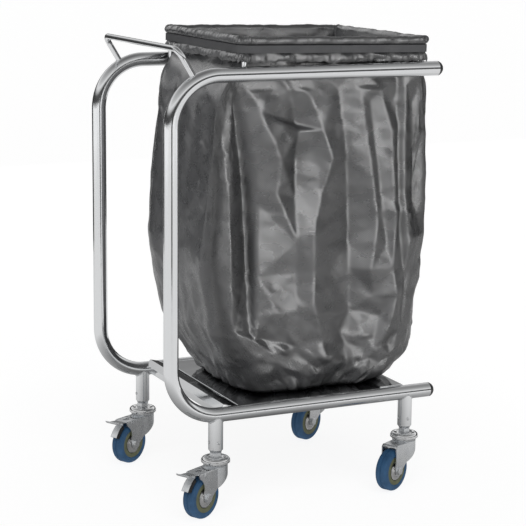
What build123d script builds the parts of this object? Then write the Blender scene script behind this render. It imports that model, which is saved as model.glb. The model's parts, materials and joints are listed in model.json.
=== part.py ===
"""Housekeeping cart: two bent-tube side frames on four swivel casters, a base tray between the
lower rails, and a rectangular hoop over the top rails that holds a refuse bag open.

+X runs from the push handle to the open front, +Y to the far side, +Z up. The origin is on the
floor under the middle of the cart's whole footprint, trailing casters included.
"""
from build123d import *
from math import acos, asin, cos, degrees, radians, sin
import os

# ---- driving dimensions, mm -------------------------------------------------------------
TUBE_R = 12.7  # 25.4 mm stainless tube, used for the side frames and the legs
TUBE_WALL = 1.5
BEND_R = 85.0  # centreline radius of the four frame bends
POST_X = -248.9  # rear posts' centreline
MID_Y = 14.4  # the cart's middle plane
HALF_SPAN = 170.0  # middle plane to each side frame's centreline
RAIL_LENGTH = 500.0  # post centreline to the tube's open end
RAIL_END_X = POST_X + RAIL_LENGTH
LOWER_RAIL_Z = 172.0
TOP_RAIL_Z = 750.0

LEG_OFFSETS = {"rear": 82.5, "front": 453.5}  # from the post centreline
LEG_BOTTOM_Z = 111.5
SIDES = {"near": -1, "far": 1}
CORNERS = [(end, side) for end in LEG_OFFSETS for side in SIDES]
SET_SCREW_Z = 125.0
SET_SCREW_R = 2.2
SET_SCREW_HEAD_R = 2.8
SOCKET_TIP_Z = 106.2  # lower end of the threaded socket
LOCK_NUT_Z = 97.4
LOCK_NUT_H = 8.8
LOCK_NUT_HALF_FLATS = 9.5
PLUG_HEAD_R = 12.6
PLUG_HEAD = 2.0  # straight part of the plug's head, before its dome
PLUG_DOME = 8.5
PLUG_DEPTH = 14.0

HANDLE_R = 5.0
HANDLE_BAR_X = POST_X + 12.5
HANDLE_BAR_Z = 794.0
HANDLE_BEND_R = 18.0
HANDLE_FOOT_ANGLE = 62.0  # up the top bend from its rear, where the handle is welded

HOOP_MID_X = POST_X + 305.0
HOOP_MID_Z = 788.0  # middle of the retaining band
HOOP_TILT = 1.0  # degrees, down towards the front
HOOP_HALF_X = 172.5  # rod centreline
HOOP_HALF_Y = 162.5
HOOP_CORNER_R = 10.0
ROD_R = 4.0
HOOP_POST_R = 4.2
UPPER_ROD_H = 13.5  # rods' heights from the middle of the band
LOWER_ROD_H = -12.0

BAND_HALF_H = 6.35
BAND_INNER = 6.0  # offsets outwards from the rod centreline
BAND_OUTER = 8.5

BAG_WALL = 2.0
BAG_INNER = -5.5  # outer face of the wall that hangs inside the rods
CUFF_INNER = 4.5  # the cuff that is folded down outside the rods
CUFF_OUTER = 5.9
CUFF_DROP = 21.5
ROLL_OUTER = 10.0
ROLL_BOTTOM_H = 6.9
ROLL_TOP_H = 21.3
BAG_NECK_H = -24.0
# Hanging part of the bag: height, rear x and front x from the posts, half width, corner radius
BAG_SECTIONS = (
    (732.0, 109.0, 494.0, 151.5, 26.0),
    (620.0, 93.0, 504.0, 153.5, 32.0),
    (430.0, 75.0, 505.0, 154.0, 42.0),
    (300.0, 92.0, 501.0, 151.0, 55.0),
    (225.0, 124.0, 487.0, 145.0, 65.0),
    (184.6, 154.0, 397.0, 127.0, 66.0),
)

SHEET = 1.5  # cross member and tray steel
TRAY_TOP_Z = LOWER_RAIL_Z + 10.0
TRAY_REAR = 129.0  # ends of the tray, from the post centreline
TRAY_FRONT = 400.0
LAP = 14.0  # how far the cross members' flanges run under the tray
FLANGE_TOP = TRAY_TOP_Z - SHEET - LOWER_RAIL_Z  # cross member heights are from the rail's centre
FLANGE_UNDER = FLANGE_TOP - SHEET
MEMBER_FOOT = -4.0

# Casters: heights above the floor, and distances behind the swivel axis
WHEEL_R = 37.5
WHEEL_HALF_W = 12.0
CORE_R = 26.5
COVER_R = 18.0
AXLE_Z = WHEEL_R
TRAIL = 40.0
TRAIL_ANGLE = 208.0  # plan angle of the trailing wheel
CHEEK_INNER = 13.8
CHEEK_T = 2.0
CHEEK_OUTER = CHEEK_INNER + CHEEK_T
CROWN_R = 21.0
PLATE_Z = 82.0
PLATE_TOP_Z = PLATE_Z + CHEEK_T
NECK_TOP_Z = 90.5
KINGPIN_R = 5.0
RUNNING_GAP = 0.05
CAP_R = 25.0
CAP_T = 1.6
CAP_FLOOR_Z = 94.6
STEM_R = 6.0
STEM_TOP_Z = 138.0
INSERT_R = TUBE_R - TUBE_WALL - 0.02
BALL_R = 2.9
BALL_RING_R = 18.0
BALL_COUNT = 14
AXLE_R = 4.0
BUSH_R = 6.0
LOBE_R = 8.5  # fork cheek's round end about the axle
BRAKED = ("rear",)
RIVET_U = 47.0
RIVET_Z = 79.5
RIVET_R = 2.0
SHOE_GAP = 3.0
SHOE_T = 5.5
SHOE_FROM = 24.0  # angles above the horizontal, seen from the axle
SHOE_TO = 56.0

UP = Vector(0, 0, 1)
TRAILING = Vector(cos(radians(TRAIL_ANGLE)), sin(radians(TRAIL_ANGLE)), 0)
ALONG_AXLE = UP.cross(TRAILING)


def side_y(side):
    """Centreline of one side frame."""
    return MID_Y + SIDES[side] * HALF_SPAN


def dome(base, radius, height):
    """Arc of a domed end, from its rim at (base, radius) to the axis at base + height."""
    ball = (radius**2 + height**2) / (2 * height)
    middle = asin(radius / ball) / 2
    centre = base + height - ball
    ThreePointArc(
        (base, radius), (centre + ball * cos(middle), ball * sin(middle)), (base + height, 0)
    )


def save(solid, name):
    """Label a finished piece and write its STEP file."""
    solid.label = name
    export_step(solid, f"parts/{name}.step")


# ---- side frames, legs and handle -------------------------------------------------------
def bent_tube(side, bore):
    """C-shaped frame: top rail, rear post and lower rail in one bent tube, bored if asked."""
    with BuildPart() as tube:
        with BuildLine(Plane.XZ.offset(-side_y(side))) as centreline:
            FilletPolyline(
                (RAIL_END_X, TOP_RAIL_Z),
                (POST_X, TOP_RAIL_Z),
                (POST_X, LOWER_RAIL_Z),
                (RAIL_END_X, LOWER_RAIL_Z),
                radius=BEND_R,
            )
        with BuildSketch(Plane(origin=centreline.line @ 0, z_dir=centreline.line % 0)):
            Circle(TUBE_R)
            if bore:
                Circle(bore, mode=Mode.SUBTRACT)
        sweep()
    return tube.part


def rail_end_plugs():
    """Domed plastic plug in each open tube end."""
    with BuildPart() as plugs:
        for side in SIDES:
            for z in (TOP_RAIL_Z, LOWER_RAIL_Z):
                end = Plane(origin=(RAIL_END_X, side_y(side), z), x_dir=(1, 0, 0), z_dir=(0, -1, 0))
                with BuildSketch(end):
                    with BuildLine():
                        Polyline((PLUG_HEAD + PLUG_DOME, 0), (-PLUG_DEPTH, 0), (-PLUG_DEPTH, INSERT_R))
                        Polyline((-PLUG_DEPTH, INSERT_R), (0, INSERT_R), (0, PLUG_HEAD_R))
                        Line((0, PLUG_HEAD_R), (PLUG_HEAD, PLUG_HEAD_R))
                        dome(PLUG_HEAD, PLUG_HEAD_R, PLUG_DOME)
                    make_face()
                revolve(axis=Axis(end.origin, end.x_dir))
    return plugs.part


def set_screw_seats(side):
    """Where a leg's two set screws point: outwards, and to the rear."""
    return (Vector(0, SIDES[side], 0), Vector(-1, 0, 0))


def leg(end, side, rail):
    """Short leg, saddle-cut to the lower rail, with two set screw holes near its foot."""
    x = POST_X + LEG_OFFSETS[end]
    y = side_y(side)
    with BuildPart() as tube:
        with BuildSketch(Plane.XY.offset(LEG_BOTTOM_Z)):
            with Locations((x, y)):
                Circle(TUBE_R)
                Circle(TUBE_R - TUBE_WALL, mode=Mode.SUBTRACT)
        extrude(amount=LOWER_RAIL_Z + MEMBER_FOOT - LEG_BOTTOM_Z)
        add(rail, mode=Mode.SUBTRACT)
        for outwards in set_screw_seats(side):
            with BuildSketch(Plane(origin=(x, y, SET_SCREW_Z), z_dir=outwards)):
                Circle(SET_SCREW_R)
            extrude(amount=TUBE_R + 1, mode=Mode.SUBTRACT)
    return tube.part


def leg_set_screws():
    """Two domed set screws in each leg, which lock the caster socket."""
    foot = INSERT_R + 0.1
    seat_r = TUBE_R + 0.4
    with BuildPart() as screws:
        for end, side in CORNERS:
            centre = Vector(POST_X + LEG_OFFSETS[end], side_y(side), SET_SCREW_Z)
            for outwards in set_screw_seats(side):
                seat = Plane(origin=centre, x_dir=outwards, z_dir=UP.cross(outwards))
                with BuildSketch(seat):
                    with BuildLine():
                        Polyline((seat_r + 1.1, 0), (foot, 0), (foot, SET_SCREW_R - 0.1))
                        Line((foot, SET_SCREW_R - 0.1), (seat_r, SET_SCREW_R - 0.1))
                        Line((seat_r, SET_SCREW_R - 0.1), (seat_r, SET_SCREW_HEAD_R))
                        dome(seat_r, SET_SCREW_HEAD_R, 1.1)
                    make_face()
                revolve(axis=Axis(seat.origin, seat.x_dir))
    return screws.part


def leg_inserts():
    """Threaded caster socket in the foot of each leg, with a tapered collar below the tube."""
    with BuildPart() as inserts:
        for end, side in CORNERS:
            centre = Vector(POST_X + LEG_OFFSETS[end], side_y(side), 0)
            foot = Plane(origin=centre, z_dir=(0, -1, 0), x_dir=(1, 0, 0))
            with BuildSketch(foot):
                Polygon(
                    (STEM_R, SOCKET_TIP_Z),
                    (9.2, SOCKET_TIP_Z),
                    (12.3, LEG_BOTTOM_Z),
                    (INSERT_R, LEG_BOTTOM_Z),
                    (INSERT_R, STEM_TOP_Z),
                    (STEM_R, STEM_TOP_Z),
                    align=None,
                )
            revolve(axis=Axis(foot.origin, UP))
    return inserts.part


def stem_lock_nuts():
    """Hexagon nut that locks each caster stem against its socket."""
    with BuildPart() as nuts:
        for end, side in CORNERS:
            with BuildSketch(Plane.XY.offset(LOCK_NUT_Z)):
                with Locations((POST_X + LEG_OFFSETS[end], side_y(side))):
                    RegularPolygon(radius=LOCK_NUT_HALF_FLATS, side_count=6, major_radius=False)
                    Circle(STEM_R, mode=Mode.SUBTRACT)
            extrude(amount=LOCK_NUT_H)
    return nuts.part


def handle_rod(rails):
    """Push handle: one bent rod welded on the two top bends."""
    reach = BEND_R + 4  # the rod's ends start inside the tubes, which then trim them
    foot_x = POST_X + BEND_R - reach * cos(radians(HANDLE_FOOT_ANGLE))
    foot_z = TOP_RAIL_Z - BEND_R + reach * sin(radians(HANDLE_FOOT_ANGLE))
    near_y, far_y = side_y("near"), side_y("far")
    with BuildPart() as rod:
        with BuildLine() as route:
            FilletPolyline(
                (foot_x, near_y, foot_z),
                (HANDLE_BAR_X, near_y, HANDLE_BAR_Z),
                (HANDLE_BAR_X, far_y, HANDLE_BAR_Z),
                (foot_x, far_y, foot_z),
                radius=HANDLE_BEND_R,
            )
        with BuildSketch(Plane(origin=route.line @ 0, z_dir=route.line % 0)):
            Circle(HANDLE_R)
        sweep()
        for rail in rails:
            add(rail, mode=Mode.SUBTRACT)
    return rod.part


# ---- base -------------------------------------------------------------------------------
def cross_member(points, rails):
    """Sheet between the lower rails, from (offset from the posts, height over the rail centre) points."""
    with BuildPart() as sheet:
        with BuildSketch(Plane.XZ.offset(-MID_Y)):
            Polygon(*[(POST_X + x, LOWER_RAIL_Z + z) for x, z in points], align=None)
        extrude(amount=HALF_SPAN - 2, both=True)  # runs into the rails, which trim it
        for rail in rails:
            add(rail, mode=Mode.SUBTRACT)
    return sheet.part


def rear_cross_member(rails):
    """Flange under the tray, a slope up to the ridge, then down the rear face."""
    return cross_member(
        (
            (TRAY_REAR + LAP, FLANGE_TOP),
            (TRAY_REAR - 0.5, FLANGE_TOP),
            (97.5, 16.5),
            (88.5, 7.0),
            (88.5, MEMBER_FOOT),
            (90.0, MEMBER_FOOT),
            (90.0, 6.4),
            (97.9, 14.8),
            (TRAY_REAR - 0.8, FLANGE_UNDER),
            (TRAY_REAR + LAP, FLANGE_UNDER),
        ),
        rails,
    )


def front_cross_member(rails):
    """Flange under the tray, a step up to a flat strip, then down the front face."""
    return cross_member(
        (
            (TRAY_FRONT - LAP, FLANGE_TOP),
            (TRAY_FRONT + 0.5, FLANGE_TOP),
            (403.5, 14.5),
            (448.0, 14.5),
            (451.5, 11.0),
            (451.5, MEMBER_FOOT),
            (450.0, MEMBER_FOOT),
            (450.0, 10.4),
            (447.4, 13.0),
            (404.4, 13.0),
            (TRAY_FRONT + 1.4, FLANGE_UNDER),
            (TRAY_FRONT - LAP, FLANGE_UNDER),
        ),
        rails,
    )


def base_tray(rails):
    """Flat stainless tray that the bag's foot rests on."""
    top = TRAY_TOP_Z - LOWER_RAIL_Z
    outline = ((TRAY_REAR, top), (TRAY_FRONT, top), (TRAY_FRONT, FLANGE_TOP), (TRAY_REAR, FLANGE_TOP))
    return cross_member(outline, rails)


# ---- hoop, band and bag -----------------------------------------------------------------
HOOP = Plane(
    origin=(HOOP_MID_X, MID_Y, HOOP_MID_Z),
    x_dir=(cos(radians(HOOP_TILT)), 0, -sin(radians(HOOP_TILT))),
    z_dir=(sin(radians(HOOP_TILT)), 0, cos(radians(HOOP_TILT))),
)


def hoop_rod(height):
    """Closed rectangular rod with rounded corners, at a height over the hoop's middle."""
    with BuildPart() as rod:
        with BuildLine(HOOP.offset(height)) as route:
            FilletPolyline(
                (HOOP_HALF_X, -HOOP_HALF_Y),
                (HOOP_HALF_X, HOOP_HALF_Y),
                (-HOOP_HALF_X, HOOP_HALF_Y),
                (-HOOP_HALF_X, -HOOP_HALF_Y),
                radius=HOOP_CORNER_R,
                close=True,
            )
        with BuildSketch(Plane(origin=route.line @ 0, z_dir=route.line % 0)):
            Circle(ROD_R)
        sweep()
    return rod.part


def post_centres():
    """Plan positions of the hoop posts, on the middle of each rounded corner."""
    inset = HOOP_CORNER_R * (1 - cos(radians(45)))
    half_x = (HOOP_HALF_X - inset) * cos(radians(HOOP_TILT))
    half_y = HOOP_HALF_Y - inset
    return [(HOOP_MID_X + sx * half_x, MID_Y + sy * half_y) for sx in (-1, 1) for sy in (-1, 1)]


def hoop_posts(rails):
    """Four short rods from the top rails up to the upper hoop rod."""
    with BuildPart() as posts:
        for x, y in post_centres():
            rod_underside = HOOP_MID_Z + UPPER_ROD_H - ROD_R - 0.15
            top = rod_underside - (x - HOOP_MID_X) * sin(radians(HOOP_TILT))
            with BuildSketch(Plane.XY.offset(TOP_RAIL_Z + 2)):
                with Locations((x, y)):
                    Circle(HOOP_POST_R)
            extrude(amount=top - TOP_RAIL_Z - 2)
        for rail in rails:
            add(rail, mode=Mode.SUBTRACT)
    return posts.part


def hoop_lower_rods(posts):
    """The lower hoop rods, which butt against the posts."""
    whole = hoop_rod(LOWER_ROD_H)
    with BuildPart() as rods:
        add(whole)
        add(posts, mode=Mode.SUBTRACT)
    return rods.part


def hoop_outline(offset, mode=Mode.ADD):
    """Rounded rectangle parallel to the hoop rod, that far outside its centreline."""
    RectangleRounded(
        2 * (HOOP_HALF_X + offset), 2 * (HOOP_HALF_Y + offset), HOOP_CORNER_R + offset, mode=mode
    )


def retaining_band():
    """Flat elastic band that grips the bag's cuff round the hoop."""
    with BuildPart() as band:
        with BuildSketch(HOOP.offset(-BAND_HALF_H)):
            hoop_outline(BAND_OUTER)
            hoop_outline(BAND_INNER, Mode.SUBTRACT)
        extrude(amount=2 * BAND_HALF_H)
    return band.part


def bag_sections(inset, floor_lift):
    """Rounded rectangles of the hanging bag, from its neck down, drawn in by inset."""
    with BuildSketch(HOOP.offset(BAG_NECK_H)) as neck:
        hoop_outline(BAG_INNER - inset)
    sections = [neck.sketch]
    for z, rear, front, half_y, corner in BAG_SECTIONS:
        lift = floor_lift if z == BAG_SECTIONS[-1][0] else 0
        with BuildSketch(Plane.XY.offset(z + lift)) as level:
            with Locations((POST_X + (rear + front) / 2, MID_Y)):
                RectangleRounded(front - rear - 2 * inset, 2 * (half_y - inset), corner - inset)
        sections.append(level.sketch)
    return sections


def refuse_bag():
    """Bag liner: rolled rim and cuff over the hoop, and an open body that hangs to the tray."""
    outer = bag_sections(0, 0)
    inner = bag_sections(BAG_WALL, BAG_WALL)
    with BuildPart() as bag:
        loft(sections=outer, ruled=True)
        loft(sections=inner, ruled=True, mode=Mode.SUBTRACT)
        with BuildSketch(HOOP.offset(BAG_NECK_H)):
            hoop_outline(BAG_INNER)
            hoop_outline(BAG_INNER - BAG_WALL, Mode.SUBTRACT)
        extrude(amount=ROLL_TOP_H - BAG_NECK_H)
        with BuildSketch(HOOP.offset(-CUFF_DROP)):
            hoop_outline(CUFF_OUTER)
            hoop_outline(CUFF_INNER, Mode.SUBTRACT)
        extrude(amount=CUFF_DROP + ROLL_TOP_H)
        with BuildSketch(HOOP.offset(ROLL_BOTTOM_H)):
            hoop_outline(ROLL_OUTER)
            hoop_outline(CUFF_INNER, Mode.SUBTRACT)
        extrude(amount=ROLL_TOP_H - ROLL_BOTTOM_H)
        with BuildSketch(HOOP.offset(UPPER_ROD_H + ROD_R + 0.4)):
            hoop_outline(CUFF_INNER + 0.5)
            hoop_outline(BAG_INNER - 0.5, Mode.SUBTRACT)
        extrude(amount=ROLL_TOP_H - UPPER_ROD_H - ROD_R - 0.4)
    return bag.part


# ---- casters ----------------------------------------------------------------------------
def swivel_plane(end, side, height=0.0):
    """Horizontal plane on a caster's swivel axis, its x pointing back to the wheel."""
    return Plane(origin=(POST_X + LEG_OFFSETS[end], side_y(side), height), x_dir=TRAILING, z_dir=UP)


def profile_plane(end, side):
    """Upright plane through the swivel axis and the wheel: x back, y up."""
    return Plane(origin=(POST_X + LEG_OFFSETS[end], side_y(side), 0), x_dir=TRAILING, z_dir=-ALONG_AXLE)


def axle_plane(end, side):
    """Upright plane through the axle: x along the axle, y up from its centre."""
    centre = Vector(POST_X + LEG_OFFSETS[end], side_y(side), AXLE_Z) + TRAILING * TRAIL
    return Plane(origin=centre, x_dir=ALONG_AXLE, z_dir=TRAILING)


def turned(plane, axis, *outline):
    """Solid of revolution from a closed straight-sided outline."""
    with BuildPart() as solid:
        with BuildSketch(plane):
            Polygon(*outline, align=None)
        revolve(axis=axis)
    return solid.part


def caster_stem(end, side):
    """Threaded stem whose lower end is the kingpin, riveted over under the fork."""
    plane = profile_plane(end, side)
    outline = (
        (0, 77.4),
        (6.5, 77.4),
        (8.5, 79.0),
        (8.5, 81.4),
        (KINGPIN_R, 81.4),
        (KINGPIN_R, CAP_FLOOR_Z),
        (STEM_R, CAP_FLOOR_Z),
        (STEM_R, STEM_TOP_Z - 1.5),
        (STEM_R - 1.5, STEM_TOP_Z),
        (0, STEM_TOP_Z),
    )
    return turned(plane, Axis(plane.origin, UP), *outline)


def swivel_cap(end, side):
    """Dished pressed cap over the ball race, clamped on the stem's shoulder."""
    plane = profile_plane(end, side)
    floor, rim = CAP_FLOOR_Z, 98.5
    with BuildPart() as cap:
        with BuildSketch(plane):
            with BuildLine():
                Polyline((KINGPIN_R, floor - CAP_T), (KINGPIN_R, floor), (11.0, floor))
                ThreePointArc((11.0, floor), (13.3, 95.3), (14.8, 97.0))
                ThreePointArc((14.8, 97.0), (18.2, rim), (22.2, 97.7))
                ThreePointArc((22.2, 97.7), (24.5, 95.2), (CAP_R, 91.6))
                Polyline((CAP_R, 91.6), (CAP_R, 90.0), (CAP_R - CAP_T, 90.0), (CAP_R - CAP_T, 91.6))
                ThreePointArc((CAP_R - CAP_T, 91.6), (23.0, 94.6), (21.4, 96.2))
                ThreePointArc((21.4, 96.2), (18.4, rim - CAP_T), (16.0, 96.0))
                ThreePointArc((16.0, 96.0), (14.2, 93.8), (11.0, floor - CAP_T))
                Line((11.0, floor - CAP_T), (KINGPIN_R, floor - CAP_T))
            make_face()
        revolve(axis=Axis(plane.origin, UP))
    return cap.part


def swivel_balls():
    """Ball race between every swivel cap and its fork's neck."""
    with BuildPart() as balls:
        for end, side in CORNERS:
            centre = Vector(POST_X + LEG_OFFSETS[end], side_y(side), NECK_TOP_Z + 0.1 + BALL_R)
            with Locations(centre):
                with PolarLocations(BALL_RING_R, BALL_COUNT):
                    Sphere(BALL_R)
    return balls.part


def cheek_outline(braked):
    """Side view of the fork: crown at the swivel, sloping front edge, round end at the axle."""
    start = Vector(-CROWN_R, 76.0)
    axle = Vector(TRAIL, AXLE_Z)
    reach = axle - start
    slope = degrees(acos(reach.X / reach.length)) + degrees(asin(LOBE_R / reach.length))
    touch = axle + Vector(-sin(radians(slope)), -cos(radians(slope))) * LOBE_R
    rear_x = TRAIL + LOBE_R
    Line((-CROWN_R, PLATE_TOP_Z), start)
    Line(start, touch)
    ThreePointArc(touch, axle + Vector(3.5, -(LOBE_R**2 - 3.5**2) ** 0.5), (rear_x, AXLE_Z))
    if braked:
        Line((rear_x, AXLE_Z), (rear_x, 56.0))
        ThreePointArc((rear_x, 56.0), (52.6, 67.8), (61.0, 75.5))
        Polyline((61.0, 75.5), (62.0, 80.5), (58.0, PLATE_TOP_Z), (-CROWN_R, PLATE_TOP_Z))
    else:
        Polyline((rear_x, AXLE_Z), (rear_x, 79.5), (rear_x - 4, PLATE_TOP_Z), (-CROWN_R, PLATE_TOP_Z))


def fork_plan(radius, half_width, rear):
    """Plan view of the fork: round crown at the swivel and parallel sides back to rear."""
    Circle(radius)
    with Locations((rear / 2, 0)):
        Rectangle(rear, 2 * half_width)


def fork(end, side):
    """Pressed steel fork: wrapped crown, two cheeks, ball race neck and kingpin hole."""
    braked = end in BRAKED
    flat = swivel_plane(end, side)
    axis = Axis(flat.origin, UP)
    profile = profile_plane(end, side)
    with BuildPart() as body:
        with BuildSketch(profile):
            with BuildLine():
                cheek_outline(braked)
            make_face()
        extrude(amount=CROWN_R + 5, both=True)
        with BuildSketch(flat):
            fork_plan(CROWN_R, CHEEK_OUTER, 80.0)
        extrude(amount=PLATE_TOP_Z + 1, mode=Mode.INTERSECT)
        for outermost in (0, -1):
            crown_edges = body.edges().filter_by_position(Axis.Z, PLATE_TOP_Z - 0.1, PLATE_TOP_Z + 0.1)
            fillet(crown_edges.sort_by(Axis(flat.origin, ALONG_AXLE))[outermost], radius=1.6)
        with BuildSketch(flat):
            fork_plan(CROWN_R - CHEEK_T, CHEEK_INNER, 90.0)
        extrude(amount=PLATE_Z, mode=Mode.SUBTRACT)
        if braked:
            with BuildSketch(swivel_plane(end, side, PLATE_Z - 1)):
                with Locations((33.0 + 20, 0)):
                    Rectangle(40, 2 * CHEEK_INNER)
            extrude(amount=10, mode=Mode.SUBTRACT)
            with BuildSketch(profile):
                with Locations((RIVET_U, RIVET_Z)):
                    Circle(RIVET_R)
            extrude(amount=CHEEK_OUTER + 1, both=True, mode=Mode.SUBTRACT)
        with BuildSketch(profile):
            Polygon(
                (12.0, PLATE_TOP_Z),
                (20.0, PLATE_TOP_Z),
                (22.4, 87.6),
                (21.8, 89.6),
                (20.6, NECK_TOP_Z),
                (14.0, NECK_TOP_Z),
                align=None,
            )
        revolve(axis=axis)
        with BuildSketch(profile):
            with Locations((TRAIL, AXLE_Z)):
                Circle(AXLE_R)
        extrude(amount=CHEEK_OUTER + 1, both=True, mode=Mode.SUBTRACT)
        with BuildSketch(flat):
            Circle(KINGPIN_R + RUNNING_GAP)
        extrude(amount=PLATE_TOP_Z + 1, mode=Mode.SUBTRACT)
    return body.part


def axle_bolt(end, side):
    """Axle bolt with its hexagon head outside one cheek, and its lock nut outside the other."""
    plane = axle_plane(end, side)
    across = Plane(origin=plane.origin, x_dir=TRAILING, z_dir=ALONG_AXLE)
    with BuildPart() as bolt:
        with BuildSketch(across.offset(-CHEEK_OUTER - 7.6)):
            Circle(AXLE_R)
        extrude(amount=2 * CHEEK_OUTER + 7.6)
        with BuildSketch(across.offset(CHEEK_OUTER)):
            RegularPolygon(radius=6.5, side_count=6, major_radius=False)
        extrude(amount=4.6)
        chamfer(bolt.faces().sort_by(Axis(plane.origin, ALONG_AXLE))[-1].edges(), length=0.8)
    with BuildPart() as nut:
        with BuildSketch(across.offset(-CHEEK_OUTER - 6.5)):
            RegularPolygon(radius=6.5, side_count=6, major_radius=False)
            Circle(AXLE_R, mode=Mode.SUBTRACT)
        extrude(amount=6.5)
    return Compound(children=[bolt.part, nut.part])


def axle_bush(end, side):
    """Steel bush clamped between the cheeks, on which the wheel turns."""
    plane = axle_plane(end, side)
    half = CHEEK_INNER
    outline = ((-half, AXLE_R), (half, AXLE_R), (half, BUSH_R), (-half, BUSH_R))
    return turned(plane, Axis(plane.origin, ALONG_AXLE), *outline)


def tyre(end, side):
    """Grooved tyre with rounded shoulders."""
    plane = axle_plane(end, side)
    half = WHEEL_HALF_W
    with BuildPart() as ring:
        with BuildSketch(plane):
            with BuildLine():
                Polyline((-half + 0.8, CORE_R), (-half, CORE_R + 1.5), (-half, 32.0))
                ThreePointArc((-half, 32.0), (-10.1, 35.7), (-6.5, WHEEL_R))
                Polyline((-6.5, WHEEL_R), (-1.4, WHEEL_R), (-0.7, 36.4), (0.7, 36.4), (1.4, WHEEL_R))
                Line((1.4, WHEEL_R), (6.5, WHEEL_R))
                ThreePointArc((6.5, WHEEL_R), (10.1, 35.7), (half, 32.0))
                Polyline((half, 32.0), (half, CORE_R + 1.5), (half - 0.8, CORE_R), (-half + 0.8, CORE_R))
            make_face()
        revolve(axis=Axis(plane.origin, ALONG_AXLE))
    return ring.part


def wheel_core(end, side):
    """Moulded core: hub boss, web and rim."""
    plane = axle_plane(end, side)
    bore = BUSH_R + RUNNING_GAP
    right = ((12.4, bore), (12.4, 9.6), (4.5, 10.4), (4.5, 18.0), (10.4, 18.5), (11.2, 19.4), (11.2, CORE_R))
    left = tuple((-x, r) for x, r in reversed(right))
    return turned(plane, Axis(plane.origin, ALONG_AXLE), *right, *left)


def hub_covers(end, side):
    """Dished metal disc on each face of the wheel."""
    plane = axle_plane(end, side)
    lip_r = COVER_R - 1.0
    with BuildPart() as covers:
        for face in (-1, 1):
            with BuildSketch(plane):
                with BuildLine():
                    Polyline((face * 12.4, BUSH_R + 0.3), (face * 13.3, BUSH_R + 0.3), (face * 13.3, 9.9))
                    ThreePointArc((face * 13.3, 9.9), (face * 11.4, 13.0), (face * 11.0, lip_r))
                    Polyline((face * 11.0, lip_r), (face * 11.4, COVER_R), (face * 10.5, COVER_R))
                    Line((face * 10.5, COVER_R), (face * 10.1, lip_r))
                    ThreePointArc((face * 10.1, lip_r), (face * 10.5, 13.0), (face * 12.4, 9.9))
                    Line((face * 12.4, 9.9), (face * 12.4, BUSH_R + 0.3))
                make_face()
            revolve(axis=Axis(plane.origin, ALONG_AXLE))
    return covers.part


def wheel_point(radius, angle):
    """Point in a caster's side view at a radius and height angle from the axle."""
    return (TRAIL + radius * cos(radians(angle)), AXLE_Z + radius * sin(radians(angle)))


def shoe_sector(inner, outer, first, last):
    """Part ring about the axle in a caster's side view."""
    middle = (first + last) / 2
    Line(wheel_point(inner, first), wheel_point(outer, first))
    ThreePointArc(wheel_point(outer, first), wheel_point(outer, middle), wheel_point(outer, last))
    Line(wheel_point(outer, last), wheel_point(inner, last))
    ThreePointArc(wheel_point(inner, last), wheel_point(inner, middle), wheel_point(inner, first))


def brake_shoe(end, side):
    """Rubber block that the pedal presses on the tread."""
    inner = WHEEL_R + SHOE_GAP
    with BuildPart() as shoe:
        with BuildSketch(profile_plane(end, side)):
            with BuildLine():
                shoe_sector(inner, inner + SHOE_T, SHOE_FROM, SHOE_TO)
            make_face()
        extrude(amount=8.5, both=True)
    return shoe.part


def brake_pedal(end, side):
    """Stamped pedal: plate with a turned-up tip, two ears on the rivet and a shoe holder."""
    profile = profile_plane(end, side)
    flat = swivel_plane(end, side)
    holder = WHEEL_R + SHOE_GAP + SHOE_T
    ear_inner, ear_outer = 11.8, 13.4
    with BuildPart() as pedal:
        with BuildSketch(profile):
            Polygon(
                (34.5, 83.6),
                (64.0, 83.6),
                (80.0, 85.2),
                (86.0, 85.2),
                (90.0, 88.4),
                (91.0, 87.2),
                (86.6, 83.6),
                (80.2, 83.6),
                (64.2, 82.0),
                (34.5, 82.0),
                align=None,
            )
        extrude(amount=ear_outer, both=True)
        with BuildSketch(flat.offset(70)):
            with Locations((48.2, 0)):
                Rectangle(27.6, 2 * ear_outer)
            with Locations((72.0, 0)):
                Rectangle(26.0, 2 * 10.5)
            with Locations((86.5, 0)):
                RectangleRounded(11.0, 2 * ear_outer, 3.0)
        extrude(amount=30, mode=Mode.INTERSECT)
        with BuildSketch(flat.offset(70)):
            with Locations((47.0, 0)):
                RectangleRounded(13.0, 9.0, 1.5)
        extrude(amount=30, mode=Mode.SUBTRACT)
        for offset in (ear_inner, -ear_outer):
            with BuildSketch(profile.offset(offset)):
                Polygon((39.0, 82.4), (55.0, 82.4), (51.0, 76.4), (43.0, 76.4), align=None)
            extrude(amount=ear_outer - ear_inner)
        with BuildSketch(profile):
            with BuildLine():
                shoe_sector(holder, holder + 1.5, SHOE_FROM, 62.0)
            make_face()
        extrude(amount=7.0, both=True)
        with BuildSketch(profile):
            Polygon((60.5, 82.4), (66.0, 82.6), (64.6, 77.4), (61.9, 78.4), align=None)
        extrude(amount=7.0, both=True)
        with BuildSketch(profile):
            with Locations((RIVET_U, RIVET_Z)):
                Circle(RIVET_R + RUNNING_GAP)
        extrude(amount=CHEEK_OUTER, both=True, mode=Mode.SUBTRACT)
    return pedal.part


def brake_rivet(end, side):
    """Rivet through the cheeks that the pedal turns on."""
    centre = swivel_plane(end, side, RIVET_Z).origin + TRAILING * RIVET_U
    plane = Plane(origin=centre, x_dir=ALONG_AXLE, z_dir=TRAILING)
    with BuildPart() as rivet:
        with BuildSketch(plane):
            with BuildLine():
                Polyline((CHEEK_OUTER + 1.7, 0), (0, 0), (0, RIVET_R), (CHEEK_OUTER, RIVET_R))
                Line((CHEEK_OUTER, RIVET_R), (CHEEK_OUTER, 3.8))
                dome(CHEEK_OUTER, 3.8, 1.7)
            make_face()
        revolve(axis=Axis(plane.origin, ALONG_AXLE))
        mirror(about=Plane(origin=centre, z_dir=ALONG_AXLE))
    return rivet.part


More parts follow.
